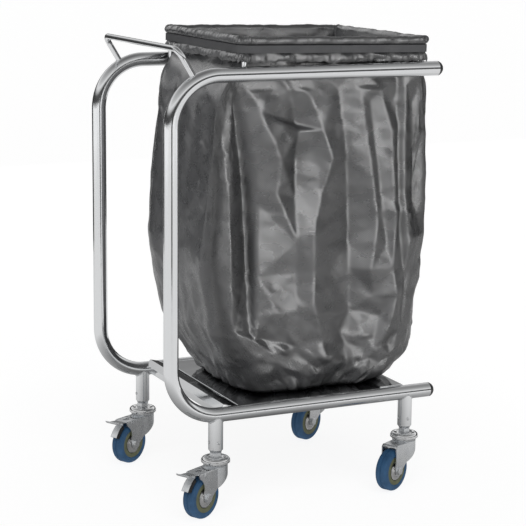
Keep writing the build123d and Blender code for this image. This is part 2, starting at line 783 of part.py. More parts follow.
# ---- build and write every piece --------------------------------------------------------
def main():
    os.makedirs("parts", exist_ok=True)
    rails = {side: bent_tube(side, bore=0) for side in SIDES}
    both = list(rails.values())
    for side in SIDES:
        save(bent_tube(side, bore=TUBE_R - TUBE_WALL), f"{side}_side_frame")
    save(rail_end_plugs(), "rail_end_plugs")
    for end, side in CORNERS:
        save(leg(end, side, rails[side]), f"leg_{end}_{side}")
    save(leg_inserts(), "leg_inserts")
    save(leg_set_screws(), "leg_set_screws")
    save(stem_lock_nuts(), "stem_lock_nuts")
    save(handle_rod(both), "handle_rod")
    save(base_tray(both), "base_tray")
    save(rear_cross_member(both), "rear_cross_member")
    save(front_cross_member(both), "front_cross_member")
    posts = hoop_posts(both)
    save(hoop_rod(UPPER_ROD_H), "hoop_upper_rod")
    save(posts, "hoop_posts")
    save(hoop_lower_rods(posts), "hoop_lower_rods")
    save(retaining_band(), "retaining_band")
    save(refuse_bag(), "refuse_bag")
    save(swivel_balls(), "swivel_balls")
    for end, side in CORNERS:
        for make in (caster_stem, swivel_cap, fork, axle_bolt, axle_bush, tyre, wheel_core, hub_covers):
            save(make(end, side), f"{make.__name__}_{end}_{side}")
        if end in BRAKED:
            for make in (brake_pedal, brake_shoe, brake_rivet):
                save(make(end, side), f"{make.__name__}_{end}_{side}")


main()
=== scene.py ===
import json
import math

import bmesh
import bpy
import numpy as np
from mathutils import Matrix, Vector
from mathutils.geometry import delaunay_2d_cdt


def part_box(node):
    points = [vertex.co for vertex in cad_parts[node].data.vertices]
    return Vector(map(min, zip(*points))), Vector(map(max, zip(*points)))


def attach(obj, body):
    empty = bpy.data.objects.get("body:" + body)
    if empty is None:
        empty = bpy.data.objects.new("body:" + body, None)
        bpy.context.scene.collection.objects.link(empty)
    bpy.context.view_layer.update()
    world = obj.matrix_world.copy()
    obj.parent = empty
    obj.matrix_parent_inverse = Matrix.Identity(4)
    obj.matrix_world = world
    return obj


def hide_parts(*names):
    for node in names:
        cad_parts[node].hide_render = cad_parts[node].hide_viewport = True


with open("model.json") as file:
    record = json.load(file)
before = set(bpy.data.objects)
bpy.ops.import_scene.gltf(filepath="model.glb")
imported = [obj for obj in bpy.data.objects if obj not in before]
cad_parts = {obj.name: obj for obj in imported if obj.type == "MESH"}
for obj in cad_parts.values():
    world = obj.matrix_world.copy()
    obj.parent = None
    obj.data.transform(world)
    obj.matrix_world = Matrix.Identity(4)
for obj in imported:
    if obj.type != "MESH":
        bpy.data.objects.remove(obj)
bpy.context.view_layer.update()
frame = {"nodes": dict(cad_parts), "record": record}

# ---- places and sizes, metres: read from the frame, or the same as in the CAD ------------
TUBE_R = 0.0127
BEND_R = 0.085
LEG_R = TUBE_R
POST_ROD_R = 0.0042
HANDLE_ROD_R = 0.005
NEAR_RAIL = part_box("near_side_frame")
FAR_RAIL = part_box("far_side_frame")
POST_X = NEAR_RAIL[0].x + TUBE_R
RAIL_Y = {
    "near": (NEAR_RAIL[0].y + NEAR_RAIL[1].y) / 2,
    "far": (FAR_RAIL[0].y + FAR_RAIL[1].y) / 2,
}
MID_Y = (RAIL_Y["near"] + RAIL_Y["far"]) / 2
LOWER_RAIL_Z = NEAR_RAIL[0].z + TUBE_R
TOP_RAIL_Z = NEAR_RAIL[1].z - TUBE_R
TRAY_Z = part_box("base_tray")[1].z
STRIP_LOW, STRIP_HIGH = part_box("front_cross_member")

# The hoop's middle, tilt, half size and corners, along the middle of its rod
HOOP_MID_X = POST_X + 0.305
HOOP_MID_Z = 0.788
HOOP_TILT = math.radians(1.0)
HOOP_HALF_X = 0.1725
HOOP_HALF_Y = 0.1625
HOOP_CORNER_R = 0.010
BAND_HALF_H = 0.00635
# The band's overlapped end, on its near side
SPLICE_PAST_MIDDLE = 0.016
SPLICE_LENGTH = 0.022
SPLICE_PROUD = 0.0006


# ---- camera ------------------------------------------------------------------------------
VIEW_YAW = 0.444
VIEW_PITCH = 0.196
VIEW_ROLL = 0.010
VIEW_FROM = Vector((-1.3358, -2.7953, 1.0099))
LENS_MM = 120.2
SENSOR_MM = 36.0
SEEN_FROM, SEEN_TO = 0.05, 50.0


def make_camera():
    """A long lens a little above the hoop, behind the cart's near side."""
    flat = math.cos(VIEW_PITCH)
    forward = Vector((math.sin(VIEW_YAW) * flat, math.cos(VIEW_YAW) * flat, -math.sin(VIEW_PITCH)))
    level = Vector((math.cos(VIEW_YAW), -math.sin(VIEW_YAW), 0.0))
    upright = level.cross(forward)
    right = math.cos(VIEW_ROLL) * level + math.sin(VIEW_ROLL) * upright
    up = math.cos(VIEW_ROLL) * upright - math.sin(VIEW_ROLL) * level
    data = bpy.data.cameras.new("camera")
    data.lens = LENS_MM
    data.sensor_width = SENSOR_MM
    data.clip_start = SEEN_FROM
    data.clip_end = SEEN_TO
    camera = bpy.data.objects.new("camera", data)
    bpy.context.scene.collection.objects.link(camera)
    turn = Matrix((right, up, -forward)).transposed().to_4x4()
    camera.matrix_world = Matrix.Translation(VIEW_FROM) @ turn
    bpy.context.scene.camera = camera


# ---- materials ---------------------------------------------------------------------------
class Surface:
    """A Principled material with short ways to add noise-driven detail to it."""

    def __init__(self, name, color, metallic, roughness):
        self.material = bpy.data.materials.new(name)
        self.material.use_nodes = True
        self.tree = self.material.node_tree
        self.shader = self.tree.nodes["Principled BSDF"]
        self.shader.inputs["Base Color"].default_value = (*color, 1.0)
        self.shader.inputs["Metallic"].default_value = metallic
        self.shader.inputs["Roughness"].default_value = roughness
        self.place = self.tree.nodes.new("ShaderNodeTexCoord").outputs["Object"]

    def node(self, kind, **values):
        made = self.tree.nodes.new(kind)
        for key, value in values.items():
            if key in made.inputs:
                made.inputs[key].default_value = value
            else:
                setattr(made, key, value)
        return made

    def link(self, source, target):
        self.tree.links.new(source, target)

    def noise(self, scale, detail=3.0, stretch=(1, 1, 1)):
        """Noise over the piece, in cells per metre, drawn out along an axis by stretch."""
        mapping = self.node("ShaderNodeMapping")
        mapping.inputs["Scale"].default_value = stretch
        self.link(self.place, mapping.inputs["Vector"])
        noise = self.node("ShaderNodeTexNoise", Scale=scale, Detail=detail)
        self.link(mapping.outputs["Vector"], noise.inputs["Vector"])
        return noise.outputs["Fac"]

    def ranged(self, value, low, high, start=0.3, end=0.7):
        """Maps a 0 to 1 value between start and end on to low and high."""
        ramp = self.node("ShaderNodeMapRange")
        ramp.inputs["From Min"].default_value = start
        ramp.inputs["From Max"].default_value = end
        ramp.inputs["To Min"].default_value = low
        ramp.inputs["To Max"].default_value = high
        self.link(value, ramp.inputs["Value"])
        return ramp.outputs["Result"]

    def vary_roughness(self, value, low, high):
        self.link(self.ranged(value, low, high), self.shader.inputs["Roughness"])

    def vary_color(self, value, dark, light):
        mix = self.node("ShaderNodeMix", data_type="RGBA")
        mix.inputs["A"].default_value = (*dark, 1.0)
        mix.inputs["B"].default_value = (*light, 1.0)
        self.link(self.ranged(value, 0.0, 1.0), mix.inputs["Factor"])
        self.link(mix.outputs["Result"], self.shader.inputs["Base Color"])

    def bump(self, height, distance, strength=1.0, under=None):
        """Adds relief of that depth in metres, on top of an earlier bump if one is given."""
        bump = self.node("ShaderNodeBump", Strength=strength, Distance=distance)
        self.link(height, bump.inputs["Height"])
        if under:
            self.link(under.outputs["Normal"], bump.inputs["Normal"])
        self.link(bump.outputs["Normal"], self.shader.inputs["Normal"])
        return bump


def polished_steel():
    """Stainless tube with the fine even haze of a belt polish."""
    s = Surface("polished_steel", (0.83, 0.84, 0.85), 1.0, 0.12)
    s.vary_roughness(s.noise(140.0, stretch=(1.0, 1.0, 0.4)), 0.09, 0.16)
    s.bump(s.noise(2400.0, 2.0), 0.00002, 0.25)
    return s.material


def tray_steel():
    """Mirror-finished sheet, with faint waviness and wipe marks."""
    s = Surface("tray_steel", (0.74, 0.75, 0.76), 1.0, 0.05)
    s.vary_roughness(s.noise(60.0, 5.0, (1.0, 0.3, 1.0)), 0.03, 0.09)
    s.bump(s.noise(14.0, 1.0), 0.0006, 0.25)
    return s.material


def zinc_steel():
    """Bright zinc plate on pressed steel, slightly clouded and blue."""
    s = Surface("zinc_steel", (0.76, 0.78, 0.80), 1.0, 0.27)
    s.vary_color(s.noise(55.0, 4.0), (0.78, 0.80, 0.82), (0.88, 0.89, 0.90))
    s.vary_roughness(s.noise(90.0, 4.0), 0.22, 0.32)
    s.bump(s.noise(900.0, 3.0), 0.00003, 0.15)
    return s.material


def bright_cap():
    """Nickel-bright pressing."""
    s = Surface("bright_cap", (0.88, 0.885, 0.89), 1.0, 0.07)
    s.vary_roughness(s.noise(120.0), 0.05, 0.11)
    return s.material


def hub_metal():
    """Dished cover with fine turned rings worn in by handling."""
    s = Surface("hub_metal", (0.82, 0.82, 0.82), 1.0, 0.15)
    s.vary_roughness(s.noise(260.0, 4.0), 0.12, 0.26)
    s.bump(s.noise(700.0, 2.0), 0.00003, 0.3)
    return s.material


def bearing_steel():
    """Ground steel with a film of grease."""
    s = Surface("bearing_steel", (0.60, 0.60, 0.59), 1.0, 0.2)
    s.vary_roughness(s.noise(300.0), 0.15, 0.35)
    return s.material


def black_plastic():
    """Moulded plug with a fine matt grain."""
    s = Surface("black_plastic", (0.018, 0.018, 0.019), 0.0, 0.42)
    s.vary_roughness(s.noise(400.0), 0.34, 0.5)
    s.bump(s.noise(1800.0, 2.0), 0.00006, 0.5)
    return s.material


def core_plastic():
    """Olive-grey moulded wheel core."""
    s = Surface("core_plastic", (0.150, 0.162, 0.088), 0.0, 0.5)
    s.vary_color(s.noise(120.0), (0.105, 0.114, 0.060), (0.142, 0.152, 0.082))
    s.bump(s.noise(1500.0, 2.0), 0.00006, 0.5)
    return s.material


def blue_tyre():
    """Blue rubber, slightly dusty, with darker scuffs."""
    s = Surface("blue_tyre", (0.035, 0.115, 0.275), 0.0, 0.5)
    s.vary_color(s.noise(75.0, 6.0), (0.020, 0.074, 0.160), (0.031, 0.102, 0.215))
    s.vary_roughness(s.noise(240.0), 0.42, 0.62)
    s.bump(s.noise(1300.0, 3.0), 0.00008, 0.5)
    s.shader.inputs["Specular IOR Level"].default_value = 0.4
    return s.material


def shoe_rubber():
    """Hard black brake block."""
    s = Surface("shoe_rubber", (0.014, 0.014, 0.014), 0.0, 0.6)
    s.vary_roughness(s.noise(300.0), 0.5, 0.75)
    s.bump(s.noise(900.0, 3.0), 0.00012, 0.6)
    return s.material


def band_rubber():
    """Smooth dark-grey elastic strip with a faint lengthwise rib."""
    s = Surface("band_rubber", (0.088, 0.089, 0.093), 0.0, 0.5)
    s.vary_color(s.noise(30.0, 3.0), (0.078, 0.079, 0.083), (0.100, 0.101, 0.105))
    ribs = s.node("ShaderNodeTexWave", Scale=260.0, Distortion=0.0, bands_direction="Z")
    s.link(s.place, ribs.inputs["Vector"])
    s.bump(ribs.outputs["Fac"], 0.00005, 0.35)
    s.shader.inputs["Specular IOR Level"].default_value = 0.35
    return s.material


HATCH_PITCH = 0.0023
HATCH_TURN = math.radians(38.0)
WAVE_PHASE = 20.0  # radians that a wave texture of scale 1 runs through in a metre


def bag_film():
    """Thin black polythene with a diagonal embossed hatch and a soft gloss; the hatch has painted shade
    in its grooves and painted highlight on its ridges.
    """
    s = Surface("bag_film", (0.06, 0.061, 0.064), 0.0, 0.34)
    s.place = s.node("ShaderNodeUVMap", uv_map="film").outputs["UV"]
    turn = s.node("ShaderNodeMapping")
    turn.inputs["Rotation"].default_value = (0.0, 0.0, HATCH_TURN)
    s.link(s.place, turn.inputs["Vector"])
    hatch = s.node("ShaderNodeTexWave", Scale=math.tau / HATCH_PITCH / WAVE_PHASE, Distortion=0.6)
    hatch.inputs["Detail"].default_value = 1.0
    hatch.inputs["Detail Scale"].default_value = 2.0
    s.link(turn.outputs["Vector"], hatch.inputs["Vector"])
    # The hatch's colour follows its own bump: painted shade in the embossed grooves, painted highlight
    # on the ridges.
    s.vary_color(hatch.outputs["Fac"], (0.012, 0.0122, 0.013), (0.030, 0.0305, 0.032))
    fine = s.bump(s.noise(160.0, 4.0), 0.0006, 0.35)
    s.bump(hatch.outputs["Fac"], 0.00018, 0.8, under=fine)
    s.vary_roughness(s.noise(40.0, 4.0), 0.22, 0.36)
    s.shader.inputs["Specular IOR Level"].default_value = 1.0
    return s.material


MATERIALS = {
    make.__name__: make()
    for make in (
        polished_steel, tray_steel, zinc_steel, bright_cap, hub_metal, bearing_steel,
        black_plastic, core_plastic, blue_tyre, shoe_rubber, band_rubber, bag_film,
    )
}


def dress_cad_nodes():
    """Every carried-over CAD node gets the material of its record slot."""
    for subpart in frame["record"]["subparts"]:
        cad = frame["nodes"][subpart["node"]]
        cad.data.materials.clear()
        cad.data.materials.append(MATERIALS[subpart["material_slot"]])


# ---- mesh helpers ------------------------------------------------------------------------
def piece_from(name, points, faces, slot, body="frame", smooth=True):
    """A mesh piece in the row frame, with its material, riding on a body."""
    mesh = bpy.data.meshes.new(name)
    mesh.from_pydata([tuple(p) for p in points], [], faces)
    mesh.update()
    piece = bpy.data.objects.new(name, mesh)
    bpy.context.scene.collection.objects.link(piece)
    mesh.materials.append(MATERIALS[slot])
    mesh.polygons.foreach_set("use_smooth", [smooth] * len(mesh.polygons))
    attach(piece, body)
    return piece


# ---- weld beads --------------------------------------------------------------------------
BEAD_STEPS = 72
BEAD_SIDES = 10
BEAD_RIPPLES = ((0.16, math.tau / 6), (0.10, 2.3))  # share of the thickness, turn per step
LEG_BEAD, POST_BEAD, HANDLE_BEAD = 0.0011, 0.0006, 0.0009  # radius of the bead itself
BEAD_START = 0.03  # how far from the rail's axis the walk to its skin starts
LEG_REACH, POST_REACH, HANDLE_REACH = 0.028, 0.0275, 0.2  # the furthest the walk goes
LEG_INSET = 0.0002  # how far the bead sinks into the leg's skin
HANDLE_FOOT = math.radians(62.0)  # round the top rear bend, up from level
WALK_STEPS, WALK_SHARE = 60, 0.7  # each step covers that share of the gap left


def rail_gap(height, side):
    """Distance from a point to the skin of a straight rail."""
    return lambda p: math.hypot(p.y - RAIL_Y[side], p.z - height) - TUBE_R


def bend_gap(side):
    """Distance from a point to the skin of the top rear bend."""
    centre = Vector((POST_X + BEND_R, TOP_RAIL_Z - BEND_R))

    def gap(p):
        out = math.hypot(p.x - centre.x, p.z - centre.y) - BEND_R
        return math.hypot(out, p.y - RAIL_Y[side]) - TUBE_R

    return gap


def meet(start, direction, gap, reach):
    """Walks from start along direction until it reaches the tube's skin, or has gone as far as reach."""
    gone = 0.0
    for _ in range(WALK_STEPS):
        gone = min(gone + gap(start + direction * gone) * WALK_SHARE, reach)
    return start + direction * gone


def weld_bead(name, start, direction, radius, gap, reach, thickness):
    """A rippled bead round a rod or tube where it runs into another tube."""
    across = direction.orthogonal().normalized()
    other = direction.cross(across)
    ring = []
    for i in range(BEAD_STEPS):
        turn = math.tau * i / BEAD_STEPS
        outwards = across * math.cos(turn) + other * math.sin(turn)
        ring.append((meet(start + outwards * radius, direction, gap, reach), outwards))
    points = []
    for i, (centre, outwards) in enumerate(ring):
        ripple = 1.0 + sum(share * math.sin(i * turn) for share, turn in BEAD_RIPPLES)
        for j in range(BEAD_SIDES):
            roll = math.tau * j / BEAD_SIDES
            offset = outwards * math.cos(roll) - direction * math.sin(roll)
            points.append(centre + offset * thickness * ripple)
    faces = []
    for i in range(BEAD_STEPS):
        for j in range(BEAD_SIDES):
            k, m = (i + 1) % BEAD_STEPS, (j + 1) % BEAD_SIDES
            here, there = i * BEAD_SIDES, k * BEAD_SIDES
            faces.append((here + j, there + j, there + m, here + m))
    return piece_from(name, points, faces, "polished_steel")


def weld_beads():
    """Beads on the legs, the hoop posts and the handle's feet."""
    for end in ("rear", "front"):
        for side in ("near", "far"):
            low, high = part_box(f"leg_{end}_{side}")
            foot = Vector(((low.x + high.x) / 2, (low.y + high.y) / 2, LOWER_RAIL_Z - BEAD_START))
            weld_bead(f"leg_weld_{end}_{side}", foot, Vector((0, 0, 1)), LEG_R - LEG_INSET,
                      rail_gap(LOWER_RAIL_Z, side), LEG_REACH, LEG_BEAD)
    inset = HOOP_CORNER_R * (1 - math.cos(math.radians(45)))
    for end, along in (("rear", -1), ("front", 1)):
        for side, across in (("near", -1), ("far", 1)):
            x = HOOP_MID_X + along * (HOOP_HALF_X - inset)
            y = MID_Y + across * (HOOP_HALF_Y - inset)
            top = Vector((x, y, TOP_RAIL_Z + BEAD_START))
            weld_bead(f"post_weld_{end}_{side}", top, Vector((0, 0, -1)), POST_ROD_R,
                      rail_gap(TOP_RAIL_Z, side), POST_REACH, POST_BEAD)
    handle_low, handle_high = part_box("handle_rod")
    bar = Vector((handle_low.x + HANDLE_ROD_R, handle_high.z - HANDLE_ROD_R))
    for side in ("near", "far"):
        hub = Vector((POST_X + BEND_R, TOP_RAIL_Z - BEND_R))
        foot = hub + Vector((-math.cos(HANDLE_FOOT), math.sin(HANDLE_FOOT))) * BEND_R
        start = Vector((bar.x, RAIL_Y[side], bar.y))
        towards = (Vector((foot.x, RAIL_Y[side], foot.y)) - start).normalized()
        weld_bead(f"handle_weld_{side}", start, towards, HANDLE_ROD_R,
                  bend_gap(side), HANDLE_REACH, HANDLE_BEAD)


make_camera()
dress_cad_nodes()
weld_beads()


# ---- refuse bag, metres -------------------------------------------------------------------
# Columns run round the bag, one block per straight side and per rounded corner.
SIDE_COLUMNS = {"near": 80, "front": 64, "far": 80, "rear": 64}
CORNER_COLUMNS = 28
RIM_SPLIT = 2  # rim columns to one body column
BODY_ROW = 0.0033
FLOOR_ROWS = 26
FILM_ROUND = 1.25  # metres round the bag in the film's own coordinates

# Hanging part: height, rear and front from the posts, half width, corner radius, in metres
BAG_LEVELS = (
    (0.764, 0.138, 0.472, 0.1568, 0.0045),
    (0.748, 0.124, 0.484, 0.1558, 0.010),
    (0.725, 0.104, 0.497, 0.1530, 0.020),
    (0.620, 0.093, 0.504, 0.1535, 0.032),
    (0.430, 0.075, 0.505, 0.1540, 0.042),
    (0.300, 0.097, 0.501, 0.1510, 0.050),
    (0.240, 0.124, 0.490, 0.1450, 0.055),
    (0.205, 0.148, 0.474, 0.1370, 0.060),
    (0.188, 0.158, 0.452, 0.1270, 0.060),
)
FLOOR_SHRINK = (0.92, 0.02)  # outermost and innermost ring of the bag's floor, over its foot
FLOOR_CROWDING = 1.15  # above 1, the floor's rings lie closer near the foot
FLOOR_CRINKLE = 0.0012
LEVEL_SOFTENING = 0.022  # how far either way the levels run into each other

# Rim, from the cuff's free edge over the roll to the neck: offset outside the rod, height
RIM_PATH = (
    (0.0070, -0.0215), (0.0088, -0.0170), (0.0082, -0.0110), (0.0056, -0.0066), (0.0051, 0.0),
    (0.0056, 0.0066), (0.0090, 0.0088), (0.0104, 0.0135), (0.0090, 0.0185), (0.0045, 0.0210),
    (-0.0020, 0.0205), (-0.0056, 0.0160), (-0.0062, 0.0060), (-0.0058, -0.0100), (-0.0055, -0.0240),
)
RIM_ROW = 0.0019
RIM_SAMPLES = 400
RIM_SOFTENING = 17  # samples that each one is averaged with

# The rim's relief: lengths of waves, cells of creases, depths
PLEATS, PLEAT_GAIN = (0.0083, 0.0131, 0.0207), 1.6
SWELLS, SWELL_GAIN = (0.029, 0.053, 0.083, 0.117), 1.4
RAGGED = (0.013, 0.027, 0.048, 0.11)
RIM_CELL = (0.024, 0.009)
REAR_CALM = 0.65  # share of the pleats that the rear side lacks
ROLL_PLEAT_OUT, ROLL_SWELL_OUT = 0.0009, 0.0011
ROLL_PLEAT_UP, ROLL_SWELL_UP = 0.0006, 0.0009
CUFF_PLEAT, CUFF_SWELL, CUFF_CRUSH = 0.0016, 0.0022, 0.0018
CUFF_RAGGED = 0.0030
RIM_CRUSH, CUFF_SHARE = 0.0016, 0.3
INSIDE_SWAY = 0.35
INNER_WALL, INNER_PUSH = -0.005, 0.0016
ROLL_FROM, ROLL_FULL = 0.0075, 0.013  # heights over the rod's middle
CUFF_FROM, CUFF_FULL = 0.0070, 0.0135  # depths under it

# The body's relief: cells of creases, depths, and the heights where they fade
BROAD_CELL, MIDDLE_CELL, FINE_CELL = (0.085, 0.150), (0.034, 0.060), (0.014, 0.020)
BROAD_DEPTH, MIDDLE_DEPTH, FINE_DEPTH = 0.009, 0.0024, 0.0010
FOOT_EXTRA = 0.0045  # more depth of the middle and fine creases at the foot
HANGING, HANGING_TOP, HANGING_ALL = (0.050, 0.083, 0.125), 0.0030, 0.0022
NECK_Z, NECK_FADE = 0.758, 0.045
FOOT_Z, FOOT_FADE = 0.300, 0.085
HANGING_FROM, HANGING_FULL = 0.60, 0.74

# What the film keeps clear of
RAIL_CLEARANCE = 0.0006
WIDEST = 0.175
TRAY_CLEARANCE = 0.0005
STRIP_CLIMB = (0.006, 0.018)  # past the front cross member's rear edge

# Listed folds of the near side: (from the posts, height, how far it stands out), metres
NEAR_FOLDS = (
    ((0.112, 0.738, -0.002), (0.128, 0.680, -0.012), (0.138, 0.620, -0.020), (0.148, 0.536, -0.024),
     (0.155, 0.415, -0.022), (0.160, 0.300, -0.008)),
    ((0.096, 0.722, 0.000), (0.102, 0.650, 0.002), (0.112, 0.536, 0.004), (0.116, 0.415, 0.004),
     (0.124, 0.310, 0.002)),
    ((0.120, 0.736, 0.002), (0.142, 0.672, 0.000), (0.158, 0.600, -0.001), (0.165, 0.530, -0.004),
     (0.166, 0.402, 0.001), (0.166, 0.330, 0.001), (0.163, 0.290, 0.000)),
    ((0.135, 0.737, 0.004), (0.165, 0.685, 0.012), (0.205, 0.600, 0.011), (0.238, 0.535, -0.004)),
    ((0.165, 0.530, -0.004), (0.200, 0.545, 0.006), (0.238, 0.535, -0.004)),
    ((0.222, 0.722, -0.002), (0.240, 0.660, -0.013), (0.240, 0.600, -0.012), (0.238, 0.535, -0.004),
     (0.239, 0.460, 0.004), (0.241, 0.402, -0.002), (0.242, 0.337, 0.003), (0.250, 0.270, -0.004)),
    ((0.238, 0.728, 0.004), (0.262, 0.705, 0.004), (0.284, 0.650, 0.009), (0.302, 0.600, 0.012),
     (0.284, 0.540, 0.006), (0.268, 0.470, 0.010), (0.272, 0.405, 0.007), (0.271, 0.347, 0.010),
     (0.300, 0.255, 0.006)),
    ((0.240, 0.650, 0.000), (0.268, 0.618, -0.002), (0.284, 0.590, 0.002), (0.284, 0.540, 0.006)),
    ((0.318, 0.720, -0.002), (0.328, 0.650, -0.002), (0.336, 0.600, -0.006), (0.345, 0.520, -0.015),
     (0.348, 0.450, -0.017), (0.350, 0.402, -0.011), (0.352, 0.327, -0.012), (0.353, 0.222, -0.006)),
    ((0.356, 0.715, 0.004), (0.372, 0.640, 0.004), (0.386, 0.560, 0.006), (0.396, 0.480, 0.004),
     (0.385, 0.400, 0.005), (0.395, 0.350, -0.002), (0.412, 0.310, -0.008)),
    ((0.376, 0.700, 0.001), (0.392, 0.600, 0.001), (0.405, 0.520, 0.000), (0.418, 0.440, -0.002)),
    ((0.400, 0.712, 0.004), (0.422, 0.640, 0.008), (0.428, 0.560, 0.008), (0.434, 0.480, 0.004),
     (0.432, 0.400, 0.004)),
    ((0.432, 0.736, -0.004), (0.436, 0.660, -0.004), (0.437, 0.589, -0.002), (0.444, 0.473, -0.005),
     (0.460, 0.372, -0.006), (0.455, 0.281, -0.006)),
    ((0.446, 0.722, 0.004), (0.447, 0.640, 0.004), (0.452, 0.520, 0.003), (0.462, 0.450, 0.002)),
    ((0.462, 0.690, -0.006), (0.474, 0.600, -0.014), (0.482, 0.520, -0.014), (0.480, 0.450, -0.004)),
    ((0.166, 0.402, 0.001), (0.241, 0.402, -0.002), (0.272, 0.405, 0.007), (0.310, 0.404, -0.004),
     (0.350, 0.402, -0.011), (0.385, 0.400, 0.005), (0.432, 0.400, 0.004)),
    ((0.166, 0.330, 0.001), (0.205, 0.336, 0.005), (0.242, 0.337, 0.003), (0.271, 0.347, 0.010)),
    ((0.166, 0.330, 0.001), (0.180, 0.290, -0.008), (0.200, 0.262, 0.002)),
    ((0.271, 0.347, 0.010), (0.305, 0.315, 0.002), (0.337, 0.292, -0.010), (0.353, 0.222, -0.006)),
    ((0.412, 0.310, -0.008), (0.425, 0.290, 0.006), (0.400, 0.250, 0.002), (0.353, 0.222, -0.006)),
    ((0.432, 0.400, 0.004), (0.440, 0.350, 0.007), (0.425, 0.290, 0.006)),
)
# Points round the near side where it lies flat: the two upright edges, the neck and the foot
EDGE_X, EDGE_Z = (0.03, 0.56), (0.16, 0.30, 0.45, 0.60, 0.80)
END_X, END_Z = (0.12, 0.20, 0.28, 0.36, 0.44, 0.50), (0.752, 0.190)


def spread(values, at):
    """A column of BAG_LEVELS at heights, the levels softened into each other."""
    heights = np.array([level[0] for level in BAG_LEVELS])[::-1]
    column = np.array([level[values] for level in BAG_LEVELS])[::-1]
    reach = np.minimum(LEVEL_SOFTENING, np.minimum(at - heights[0], heights[-1] - at).clip(0))
    nudges = np.linspace(-1.0, 1.0, 7)
    return np.mean([np.interp(at + nudge * reach, heights, column) for nudge in nudges], axis=0)


def rounded_ring(rear, front, half_y, corner, split=1):
    """Points and outward normals round a rectangle with round corners, from the near rear corner."""
    points, normals = [], []
    centres = {
        "near": (front - corner, -half_y + corner),
        "front": (front - corner, half_y - corner),
        "far": (rear + corner, half_y - corner),
        "rear": (rear + corner, -half_y + corner),
    }
    starts = {"near": -90, "front": 0, "far": 90, "rear": 180}
    previous = centres["rear"]
    for side in ("near", "front", "far", "rear"):
        angle = math.radians(starts[side])
        out = np.array((math.cos(angle), math.sin(angle)))
        count = SIDE_COLUMNS[side] * split
        along = np.arange(count)[:, None] / count
        base = np.array(previous) + (np.array(centres[side]) - np.array(previous)) * along
        points.append(base + out * corner)
        normals.append(np.tile(out, (count, 1)))
        count = CORNER_COLUMNS * split
        turn = angle + np.arange(count) / count * math.pi / 2
        arc = np.stack((np.cos(turn), np.sin(turn)), axis=1)
        points.append(np.array(centres[side]) + arc * corner)
        normals.append(arc)
        previous = centres[side]
    return np.concatenate(points), np.concatenate(normals)


def film_columns(split=1):
    """How far round the film each column lies, in metres."""
    count = (sum(SIDE_COLUMNS.values()) + 4 * CORNER_COLUMNS) * split
    return np.arange(count) / count * FILM_ROUND


def triangles_of(points, creases=()):
    """Delaunay triangles over flat points, kept to the given crease lines."""
    found = delaunay_2d_cdt([Vector(p) for p in points], list(creases), [], 0, 1e-7)
    return np.array([tuple(v) for v in found[0]]), [tuple(f) for f in found[2]], found[3]


CELL_JITTER = 0.42  # how far a cell's corner strays, in cells
SLIVER = 1e-12
EDGE_SLACK = 1e-6


def height_on(face, corners, heights, x, y):
    """Which of the points (x, y) lie on a face, and the face's height at each point."""
    (ax, ay), (bx, by), (cx, cy) = (corners[i] for i in face)
    area = (bx - ax) * (cy - ay) - (cx - ax) * (by - ay)
    if abs(area) < SLIVER:
        return np.zeros(x.shape, dtype=bool), np.zeros(x.shape)
    second = ((x - ax) * (cy - ay) - (cx - ax) * (y - ay)) / area
    third = ((bx - ax) * (y - ay) - (x - ax) * (by - ay)) / area
    inside = (second >= -EDGE_SLACK) & (third >= -EDGE_SLACK) & (second + third <= 1 + EDGE_SLACK)
    first_part = heights[face[0]] * (1 - second - third)
    return inside, first_part + heights[face[1]] * second + heights[face[2]] * third


def facets_at(corners, heights, faces, across, down):
    """Height of a faceted field at every (across, down), both 2-D arrays of one shape."""
    field = np.zeros(across.shape)
    for face in faces:
        xs, ys = zip(*(corners[i] for i in face))
        around = (across >= min(xs)) & (across <= max(xs)) & (down >= min(ys)) & (down <= max(ys))
        inside, values = height_on(face, corners, heights, across[around], down[around])
        patch = field[around]
        patch[inside] = values[inside]
        field[around] = patch
    return field


def crumple(rounds, downs, cell, seed):
    """Random facets from -1 to 1 over the film: cells that wide and tall, seamless round the bag."""
    rng = np.random.default_rng(seed)
    wide, tall = cell
    around = max(4, round(FILM_ROUND / wide))
    rows = int(math.ceil(downs.max() / tall)) + 2
    jitter = rng.uniform(-CELL_JITTER, CELL_JITTER, (rows, around, 2))
    lift = rng.uniform(-1.0, 1.0, (rows, around))
    corners, heights = [], []
    for row in range(rows):
        for column in range(-2, around + 2):
            dx, dy = jitter[row, column % around]
            x = (column + 0.5 * (row % 2) + dx) * FILM_ROUND / around
            corners.append((x, (row - 0.5 + dy) * tall))
            heights.append(lift[row, column % around])
    _, faces, _ = triangles_of(corners)
    field = np.zeros((len(downs), len(rounds)))
    for face in faces:
        xs, ys = zip(*(corners[i] for i in face))
        first = np.searchsorted(rounds, min(xs))
        last = np.searchsorted(rounds, max(xs), "right")
        top = np.searchsorted(downs, min(ys))
        bottom = np.searchsorted(downs, max(ys), "right")
        if first >= last or top >= bottom:
            continue
        x, y = np.meshgrid(rounds[first:last], downs[top:bottom])
        inside, values = height_on(face, corners, heights, x, y)
        block = field[top:bottom, first:last]
        block[inside] = values[inside]
    return field


def waves(rounds, lengths, seed):
    """Sum of sines round the film, from -1 to 1, each a whole number of waves."""
    rng = np.random.default_rng(seed)
    total = np.zeros_like(rounds)
    for length in lengths:
        count = max(1, round(FILM_ROUND / length))
        total += np.sin(rounds / FILM_ROUND * math.tau * count + rng.uniform(0, math.tau))
    return total / len(lengths)


